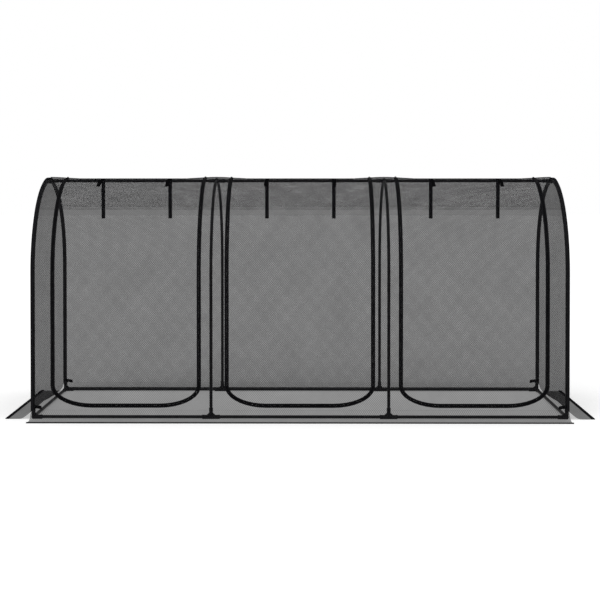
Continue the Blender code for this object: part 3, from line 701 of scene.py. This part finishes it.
def door_grid(centre_x):
    """Plan of a door: narrower beside the closed zip ends, rounded at its lower corners."""
    curve = zip_bottom(centre_x, NET_TUCK - TAPE_WIDTH)
    reach = curve[-1][0] - centre_x
    rows = []
    for run in slope_runs(SIDE_END):
        share = DOOR_NET_HALF / reach if run <= ZIP_END_LENGTH else 1
        rows.append([(centre_x + (x - centre_x) * share, run) for x, _ in curve])
    rows += [[(x, SIDE_END + (bottom - SIDE_END) * share) for x, bottom in curve] for share in steps(0, 1, 8)[1:]]
    return rows


class CageDoors(bpy.types.Operator):
    """Knit the three roll-up doors"""
    bl_idname = "fruit_cage.doors"
    bl_label = "Doors"

    def execute(self, context):
        for name, centre_x in DOOR_X.items():
            add_net(f"net_door_{name}", door_grid(centre_x), slope_place(-1), "knitted_polyethylene_net",
                    f"door_{name}", f"door_{name}")
        return {"FINISHED"}


class CageRoofStrip(bpy.types.Operator):
    """Sew the second layer of netting along the ridge"""
    bl_idname = "fruit_cage.roof_strip"
    bl_label = "Roof strip"

    def execute(self, context):
        front = slope_place(-1)
        pieces = [("rear", whole_length(), slope_place(1), "cage", "rear_net")]
        pieces += [(f"post_{n}", steps(left, right, 8), front, "cage", "front_net")
                   for n, (left, right) in enumerate(post_edges(), 1)]
        pieces += [(f"door_{name}", steps(x - DOOR_NET_HALF, x + DOOR_NET_HALF, 40), front,
                    f"door_{name}", f"door_{name}") for name, x in DOOR_X.items()]
        for name, columns, place, body, node in pieces:
            add_net(f"roof_strip_{name}", plan_grid(columns, slope_runs(ROOF_STRIP_RUN)), place,
                    "knitted_roof_strip", node, body, ROOF_STRIP_LAYER)
            seams = [ROOF_STRIP_RUN - inset for inset in (0.002, 0.007)]
            sew(f"roof_stitches_{name}", plan_grid(columns, seams), place, ROOF_STRIP_LAYER + 0.0002,
                "netting", body)
        return {"FINISHED"}


# Operators: tapes and zips

def add_hem(skirt, name, across, place, edge, width, roll, seam):
    """A skirt's hem and its stitches, and the stitches of the seam that holds the skirt.

    The width is measured back from the edge, and the roll is the hem's thickness.
    """
    add_tape(f"{skirt}_hem_{name}", [plan_grid(across, (edge + width, edge))], place, TAPE_LAYER, roll, TAPE)
    for label, row, layer in (("hem", edge + width * 0.7, TAPE_LAYER + roll), ("seam", seam, TAPE_LAYER)):
        sew(f"{skirt}_{label}_stitches_{name}", plan_grid(across, [row]), place, layer, "netting")


class CageTapes(bpy.types.Operator):
    """Sew the bindings over the end hoops, the hems, the seams above the skirts and the ridge's seam"""
    bl_idname = "fruit_cage.tapes"
    bl_label = "Bindings, hems and seams"

    def execute(self, context):
        rows = slope_runs(SEAM_RUN)
        asides = (-BINDING_WIDTH, -0.009, -0.005, -0.0015, 0, 0.0015, 0.005, 0.009, BINDING_WIDTH)
        stitch_aside = 0.0105
        low, half = SEAM_HEIGHT - SKIRT_WIDTH, ARCH_RADIUS + WALL_OFFSET
        for name, facing in SIDES.items():
            for row, turn in ROWS.items():
                place = binding_place(facing, turn)
                grid = [[(run, aside) for aside in asides] for run in rows]
                add_tape(f"binding_{name}_{row}", [grid], place, TAPE_LAYER, TAPE_THICKNESS, TAPE)
                sew(f"binding_stitches_{name}_{row}", plan_grid(rows, (-stitch_aside, stitch_aside)), place,
                    TAPE_LAYER + TAPE_THICKNESS, "netting")
            add_hem("end", name, steps(-half, half, 40), end_place(facing), low, END_HEM_WIDTH, END_HEM_ROLL,
                    SEAM_HEIGHT + 0.003)
        self.sew_ridge()
        for row, turn in ROWS.items():
            add_hem("skirt", row, whole_length(), slope_place(turn), HEM_RUN, -HEM_WIDTH, HEM_ROLL[row],
                    SEAM_RUN - 0.003)
        return {"FINISHED"}

    def sew_ridge(self):
        """A tape along the whole ridge, and a seam folded over it.

        The tape stays behind the doors' upper edges, clear of their way up. The seam stays with the
        cage at the hoops, and between them it lifts with a door.
        """
        place = slope_place(1)
        reach = END_PLANE - BINDING_WIDTH - 0.0005
        ahead, behind, fold, back = -0.0014, 0.0003, 0.0034, 0.0062
        grid = plan_grid(whole_length(reach), (behind, 0.005, 0.010))
        add_tape("ridge_tape", [grid], place, 0, RIDGE_TAPE_THICKNESS, TAPE)
        still = LIFT_HALF_LENGTH * 0.85  # how far beside a hoop the seam stays with the cage
        spans = [(f"door_{name}", left + still, right - still, ahead)
                 for name, left, right in zip(DOOR_X, HOOP_X, HOOP_X[1:])]
        spans += [("cage", max(x - still, -reach), min(x + still, reach), behind) for x in HOOP_X]
        for number, (body, left, right, edge) in enumerate(spans, 1):
            grid = plan_grid(steps(left + 0.001, right - 0.001, 30), (edge, fold, back))
            add_tape(f"ridge_seam_{number}", [grid], place, RIDGE_SEAM_LAYER, RIDGE_SEAM_THICKNESS, TAPE, body)


class CageZips(bpy.types.Operator):
    """Sew the zips: a tape and a row of coil on the cage, and their other halves on each door"""
    bl_idname = "fruit_cage.zips"
    bl_label = "Zips"

    def execute(self, context):
        pitch = context.scene.fruit_cage_sizes.tooth_pitch
        tooth = (0.0028, 0.0050, 0.0022)
        # How far the coils, the stitches and the tapes' inner edges stand aside of the zip's line
        coil_aside, seam_aside = 0.0023, TAPE_WIDTH - 0.0016
        cage_slit, door_slit = 0.0005, 0.0007
        top = ZIP_LAYER + ZIP_THICKNESS
        place = slope_place(-1)
        for name, centre_x in DOOR_X.items():
            outer = [[zip_line(centre_x, grow) for grow in (TAPE_WIDTH, TAPE_WIDTH * 0.5, -cage_slit)]]
            for turn in (-1, 1):
                line_x = centre_x + turn * DOOR_HALF
                columns = sorted((line_x, line_x - turn * TAPE_WIDTH))
                outer.append(plan_grid(columns, steps(0, ZIP_END_LENGTH - 0.0006, 4)))
            inner = [[zip_line(centre_x, grow, ZIP_END_LENGTH)
                      for grow in (-door_slit, -TAPE_WIDTH * 0.5, -TAPE_WIDTH)]]
            # The door's teeth sit half a pitch further on, between those of the cage
            for half, body, side, start, first_tooth, grids, nodes in (
                    ("zip", "cage", 1, 0, 0, outer, [f"zip_{name}"]),
                    ("door", f"door_{name}", -1, ZIP_END_LENGTH, ZIP_END_LENGTH + pitch / 2, inner, [])):
                add_tape(f"{half}_tape_{name}", grids, place, ZIP_LAYER, ZIP_THICKNESS, ZIP_TAPE, body, nodes)
                sew(f"{half}_stitches_{name}", [zip_line(centre_x, side * seam_aside, start)], place, top,
                    "zip", body)
                add_repeats(f"{half}_coil_{name}", [zip_line(centre_x, side * coil_aside, first_tooth)], place,
                            top + 0.0004, COIL, body, pitch, tooth)
        return {"FINISHED"}


# Operators: frame

class CageTubes(bpy.types.Operator):
    """Draw the coated steel tubes of the hoops, the ridge and the bottom frame"""
    bl_idname = "fruit_cage.tubes"
    bl_label = "Tubes"

    def execute(self, context):
        paths = {}
        for number, x in enumerate(HOOP_X, 1):
            for row, turn in ROWS.items():
                arc = [Vector((x, turn * ARCH_RADIUS * math.sin(a), SPRING_Z + ARCH_RADIUS * math.cos(a)))
                       for a in steps(SOCKET_FLOOR / ARCH_RADIUS, math.pi / 2, 40)]
                leg = [Vector((x, turn * ARCH_RADIUS, z)) for z in steps(SPRING_Z, BASE_Z + SOCKET_FLOOR, 3)[1:]]
                paths[f"hoop_{number}_{row}"] = arc + leg
        for number, (left, right) in enumerate(zip(HOOP_X, HOOP_X[1:]), 1):
            for name, y, z in (("ridge_tube", 0, RIDGE_Z), ("base_tube_front", -ARCH_RADIUS, BASE_Z),
                               ("base_tube_rear", ARCH_RADIUS, BASE_Z)):
                paths[f"{name}_{number}"] = [
                    Vector((x, y, z)) for x in steps(left + SOCKET_FLOOR, right - SOCKET_FLOOR, 4)]
        reach = ARCH_RADIUS - SOCKET_FLOOR
        for name, x in zip(SIDES, (HOOP_X[0], HOOP_X[-1])):
            paths[f"base_tube_{name}"] = [Vector((x, y, BASE_Z)) for y in steps(-reach, reach, 4)]
        for name, path in paths.items():
            bm = bmesh.new()
            sweep_mesh(bm, path, TUBE_RADIUS, 24)
            bmesh.ops.recalc_face_normals(bm, faces=bm.faces)
            link_piece(f"tube_{name}", finished_mesh(bm), TUBE, "cage", [name])
        return {"FINISHED"}


def moulded_mesh(bm):
    """Join the overlapping closed forms of a bmesh into one moulding with soft inner corners."""
    bmesh.ops.recalc_face_normals(bm, faces=bm.faces)
    shape = add_object("rough", plain_mesh(bm))
    join = shape.modifiers.new("join", "REMESH")
    join.mode = "VOXEL"
    join.voxel_size = 0.0011
    soften = shape.modifiers.new("soften", "SMOOTH")
    soften.factor = 0.5
    soften.iterations = 3
    shape.modifiers.new("thin", "DECIMATE").ratio = 0.35
    made = applied_mesh(shape)
    made.shade_smooth()
    return made


def add_prism(bm, outline, along):
    """Add a closed prism to a bmesh: an outline, moved along a vector."""
    face = bm.faces.new([bm.verts.new(point) for point in outline])
    grown = bmesh.ops.extrude_face_region(bm, geom=[face])
    moved = [item for item in grown["geom"] if isinstance(item, bmesh.types.BMVert)]
    bmesh.ops.translate(bm, vec=along, verts=moved)


class CageConnectors(bpy.types.Operator):
    """Mould the connectors at the ridge and on the ground"""
    bl_idname = "fruit_cage.connectors"
    bl_label = "Connectors"

    def execute(self, context):
        last = len(HOOP_X)
        # A hoop's socket at the ridge leans by half of the angle that the hoop turns along it
        slope = 0.045 / ARCH_RADIUS / 2
        falls = [Vector((0, turn * math.cos(slope), -math.sin(slope))) for turn in (-1, 1)]
        for number, x in enumerate(HOOP_X, 1):
            inward = [X_AXIS * turn for turn in (-1, 1) if 0 < number + turn <= last]
            self.mould(f"ridge_connector_{number}", Vector((x, 0, RIDGE_Z)), inward + falls, RIDGE_HUB, [])
            for row, turn in ROWS.items():
                level = inward + ([Y_AXIS * -turn] if number in (1, last) else [])
                self.mould(f"base_connector_{number}_{row}", Vector((x, turn * ARCH_RADIUS, BASE_Z)),
                           level + [Z_AXIS], BASE_HUB, level)
        return {"FINISHED"}

    def mould(self, name, place, arms, hub, level):
        """A hub with a socket along each arm, and a foot and a rib along each level one."""
        bm = bmesh.new()
        ball = bmesh.ops.create_uvsphere(bm, u_segments=32, v_segments=20, radius=hub)["verts"]
        bmesh.ops.scale(bm, vec=(BASE_HUB / hub, 1, 1), verts=ball)
        bmesh.ops.translate(bm, vec=place, verts=ball)
        for arm in arms:
            sweep_mesh(bm, [place, place + arm * SOCKET_LENGTH], SOCKET_RADIUS, 28)
            sweep_mesh(bm, [place + arm * COLLAR_START, place + arm * COLLAR_END], COLLAR_RADIUS, 28)
        for arm in level:
            across, rise = arm.cross(Z_AXIS), Z_AXIS * FOOT_HEIGHT
            low = place - arm * FOOT_BACK - Z_AXIS * (BASE_Z - 0.0002)
            foot = [low - across * FOOT_HALF, low + across * FOOT_HALF, low + across * FOOT_TOP_HALF + rise,
                    low - across * FOOT_TOP_HALF + rise]
            add_prism(bm, foot, arm * FOOT_LENGTH)
            rib = [place + corner - across * (RIB_THICKNESS / 2)
                   for corner in (Vector(), arm * RIB_REACH, Z_AXIS * RIB_REACH)]
            add_prism(bm, rib, across * RIB_THICKNESS)
        link_piece(f"moulded_{name}", moulded_mesh(bm), PLASTIC, "cage", [name])


# Operators: straps, sliders and ties

class CageStraps(bpy.types.Operator):
    """Sew the straps that tie a rolled-up door: a tail outside and a tail inside for each"""
    bl_idname = "fruit_cage.straps"
    bl_label = "Straps"

    def execute(self, context):
        half = STRAP_WIDTH / 2
        place = slope_place(-1)
        for name, centre_x in DOOR_X.items():
            tails, folds, seams = [], [], []
            for x in (centre_x - STRAP_SPREAD / 2, centre_x + STRAP_SPREAD / 2):
                columns = steps(x - half, x + half, 4)
                tails.append(plan_grid(columns, steps(0.0005, TAIL_RUN, 26)))
                folds.append(plan_grid(columns, steps(TAIL_RUN - TAIL_FOLD, TAIL_RUN, 3)))
                # A box with a cross in it near the ridge, and a row across the fold
                left, right, (high, low) = x - (half - 0.0025), x + (half - 0.0025), TAIL_BOX
                seams += [[(left, high), (right, high), (right, low), (left, low), (left, high), (right, low)],
                          [(left, low), (right, high)], [(left, TAIL_RUN - 0.011), (right, TAIL_RUN - 0.011)]]
            door, top = f"door_{name}", TAIL_LAYER + WEBBING_THICKNESS
            add_tape(f"outer_tails_{name}", tails, place, TAIL_LAYER, WEBBING_THICKNESS, WEBBING, door)
            add_tape(f"outer_tail_ends_{name}", folds, place, top, FOLD_THICKNESS, WEBBING, door)
            sew(f"outer_tail_stitches_{name}", seams, place, top + 0.0002, "webbing", door)
            for number in (1, 2):
                node = f"strap_tail_{name}_{number}"
                low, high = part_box(node)
                centre = middle(node)
                length = high[2] - low[2]

                def hang(a, down, layer):
                    """Straight down from the ridge, bowed a little to the front."""
                    bow = 0.0030 * math.sin(math.pi * down / length * 1.15) ** 2
                    return Vector((a, centre.y - bow - layer, high[2] - down))

                columns = steps(centre.x - half, centre.x + half, 4)
                tail, fold = (plan_grid(columns, steps(first, length, count))
                              for first, count in ((0, 28), (length - INNER_FOLD, 3)))
                surface = WEBBING_THICKNESS / 2
                add_tape(f"inner_tail_{name}_{number}", [tail], hang, -surface, WEBBING_THICKNESS, WEBBING, node,
                         [node])
                add_tape(f"inner_tail_end_{name}_{number}", [fold], hang, surface, 0.0010, WEBBING, node)
                seam = plan_grid(steps(centre.x - 0.006, centre.x + 0.006, 4), [length - 0.0115])
                sew(f"inner_tail_stitches_{name}_{number}", seam, hang, 0.0017, "webbing", node)
        return {"FINISHED"}


class CageSliders(bpy.types.Operator):
    """Cast the zip sliders, each with its bridge and a pull tab"""
    bl_idname = "fruit_cage.sliders"
    bl_label = "Sliders"

    def execute(self, context):
        for name, centre_x in DOOR_X.items():
            for side, turn in SIDES.items():
                self.cast(f"slider_{name}_{side}", centre_x + turn * DOOR_HALF)
        return {"FINISHED"}

    def cast(self, node, x):
        """A plate on the coil's upper end with a bridge over it, and a pull tab down the zip."""
        seat = cover_offset(x, 0) + SLIDER_HEIGHT
        turned = Matrix.Rotation(SLIDER_RUN / ARCH_RADIUS, 4, "X")

        def put(across, along, height):
            return Vector((x, 0, SPRING_Z)) + turned @ Vector((across, -along, ARCH_RADIUS + seat + height))

        bm = bmesh.new()

        def add_plate(half, height, thickness):
            outline = [put(a, b, height) for a, b in half] + [put(-a, b, height) for a, b in reversed(half)]
            add_prism(bm, outline, put(0, 0, thickness) - put(0, 0, 0))

        add_plate(SLIDER_PLATE, 0, PLATE_THICKNESS)
        for (wide, near, low), (narrow, further, high), start, stop in SLIDER_BRIDGE:
            section = [put(-wide, near, low), put(wide, near, low), put(narrow, further, high),
                       put(-narrow, further, high)]
            add_prism(bm, section, put(0, stop, 0) - put(0, start, 0))
        add_plate(PULL_TAB, TAB_HEIGHT, TAB_THICKNESS)
        bmesh.ops.recalc_face_normals(bm, faces=bm.faces)
        edges = [edge for edge in bm.edges if edge.calc_face_angle(0) > 0.5]
        bmesh.ops.bevel(bm, geom=edges, offset=0.0003, segments=2, affect="EDGES", profile=0.6)
        link_piece(f"zip_{node}", finished_mesh(bm, 40), METAL, node, [node])


class CageTies(bpy.types.Operator):
    """Sew the webbing ties round the feet of the end hoops"""
    bl_idname = "fruit_cage.ties"
    bl_label = "Corner ties"

    def execute(self, context):
        reach = TUBE_RADIUS + 0.0004
        gap = 0.12  # half of the loop's opening, in radians
        around = steps(gap * reach, (2 * math.pi - gap) * reach, 28)
        for (name, facing), leg_x in zip(SIDES.items(), (HOOP_X[0], HOOP_X[-1])):
            for row, turn in ROWS.items():
                end = f"{name}_{row}"
                leg_y = turn * ARCH_RADIUS
                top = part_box(f"corner_tie_{end}")[1][2]
                bottom = top - TIE_WIDTH

                def wrap(along, height, layer):
                    """Round the leg."""
                    angle, out = along / reach, reach + layer
                    return Vector((leg_x - facing * out * math.cos(angle), leg_y + out * math.sin(angle), height))

                def hang(along, height, layer):
                    """In along the cage from the leg, sagging towards the end."""
                    sag = 0.005 * (along / TIE_TAIL) ** 2
                    return Vector((leg_x - facing * (reach + 0.0010 + along), leg_y + layer, height - sag))

                loop, tail = ([[(a, z) for z in steps(bottom, top, 4)] for a in runs]
                              for runs in (around, steps(0, TIE_TAIL, 10)))
                add_tape(f"tie_loop_{end}", [loop], wrap, 0, WEBBING_THICKNESS, WEBBING, "cage",
                         [f"corner_tie_{end}"])
                for number, layer in enumerate((-0.0014, 0.0002), 1):
                    add_tape(f"tie_tail_{end}_{number}", [tail], hang, layer, WEBBING_THICKNESS, WEBBING)
                seam = [(0.003, z) for z in steps(bottom + 0.002, top - 0.002, 3)]
                sew(f"tie_stitches_{end}", [seam], hang, -0.0015, "webbing")
        return {"FINISHED"}


# Operator: stage

def seen_by_eye(tree):
    """1 for rays that carry the view, straight, mirrored or through glass, and 0 for those that only light."""
    path = add_node(tree, "ShaderNodeLightPath")
    seen = path.outputs["Is Camera Ray"]
    for ray in ("Is Glossy Ray", "Is Transmission Ray"):
        seen = add_node(tree, "ShaderNodeMath", {"operation": "MAXIMUM"}, {0: seen, 1: path.outputs[ray]})
    return seen


class CageStage(bpy.types.Operator):
    """Lay the pale floor, hang the lamps and set the camera"""
    bl_idname = "fruit_cage.stage"
    bl_label = "Floor, lamps and camera"

    def execute(self, context):
        scene = context.scene
        scene.view_settings.view_transform = "Standard"
        mesh = bpy.data.meshes.new("floor")
        reach = 40
        mesh.from_pydata([(-reach, -reach, 0), (reach, -reach, 0), (reach, reach, 0), (-reach, reach, 0)],
                         [], [(0, 1, 2, 3)])
        floor = add_object("floor", mesh)
        # Smooth painted floor: matt and pale, so that it shows white and keeps the cage's soft shadow
        tree, shader = new_finish("matt_painted_floor", scene.fruit_cage_colours.floor, 0.0, Roughness=0.9)
        glow = add_node(tree, "ShaderNodeMath", {"operation": "MULTIPLY"}, {0: seen_by_eye(tree), 1: 0.35})
        set_inputs(tree, shader, {"Emission Color": (1, 1, 1, 1), "Emission Strength": glow})
        mesh.materials.append(bpy.data.materials["matt_painted_floor"])
        world = bpy.data.worlds.new("pale_studio")
        scene.world = world
        world.use_nodes = True
        sky = world.node_tree
        sky.nodes.clear()
        # The backdrop is white to the eye, and lights the cage with a bit less than half of that
        level = add_node(sky, "ShaderNodeMapRange", inputs={0: seen_by_eye(sky), 1: 0.0, 2: 1.0, 3: 0.45, 4: 1.0})
        light = add_node(sky, "ShaderNodeBackground", inputs={"Color": (1, 1, 1, 1), "Strength": level})
        add_node(sky, "ShaderNodeOutputWorld", inputs={"Surface": light})
        # Wide distant lamps light the whole floor evenly, so that it meets the backdrop without an edge
        for name, turn, angle, strength in (("top_light", (0.10, 0.06, 0), 60, 1.35),
                                            ("front_light", (1.12, 0, -0.50), 40, 0.85)):
            data = bpy.data.lights.new(name, "SUN")
            data.angle = math.radians(angle)
            data.energy = strength
            add_object(name, data).rotation_euler = Euler(turn)
        data = bpy.data.cameras.new("camera")
        data.lens = 85.125
        data.sensor_width = 36
        data.shift_y = -0.1613
        camera = add_object("camera", data)
        camera.location = (0.0475, -7.6393, 1.2134)
        camera.rotation_euler = Euler((math.radians(90 - 0.963), 0, math.radians(0.373)))
        scene.camera = camera
        return {"FINISHED"}


class CagePanel(bpy.types.Panel):
    """The cage's settings and its pieces, in the order they are made"""
    bl_idname = "VIEW3D_PT_fruit_cage"
    bl_label = "Fruit cage"
    bl_space_type = "VIEW_3D"
    bl_region_type = "UI"
    bl_category = "Fruit Cage"

    def draw(self, context):
        for group in (context.scene.fruit_cage_colours, context.scene.fruit_cage_sizes):
            column = self.layout.column()
            for name in group.__annotations__:
                column.prop(group, name)
        for operator in OPERATORS:
            self.layout.operator(operator.bl_idname)


SETTINGS = (CageColours, CageSizes)
OPERATORS = (CageStage, CageTubes, CageConnectors, CageNets, CageDoors, CageRoofStrip, CageTapes, CageZips,
             CageStraps, CageSliders, CageTies)


def register():
    for item in (*SETTINGS, *OPERATORS, CagePanel):
        bpy.utils.register_class(item)
    bpy.types.Scene.fruit_cage_colours = bpy.props.PointerProperty(type=CageColours)
    bpy.types.Scene.fruit_cage_sizes = bpy.props.PointerProperty(type=CageSizes)


def unregister():
    del bpy.types.Scene.fruit_cage_sizes
    del bpy.types.Scene.fruit_cage_colours
    for item in reversed((*SETTINGS, *OPERATORS, CagePanel)):
        bpy.utils.unregister_class(item)


def main():
    register()
    for operator in OPERATORS:
        group, name = operator.bl_idname.split(".")
        getattr(getattr(bpy.ops, group), name)()


if __name__ == "__main__":
    main()
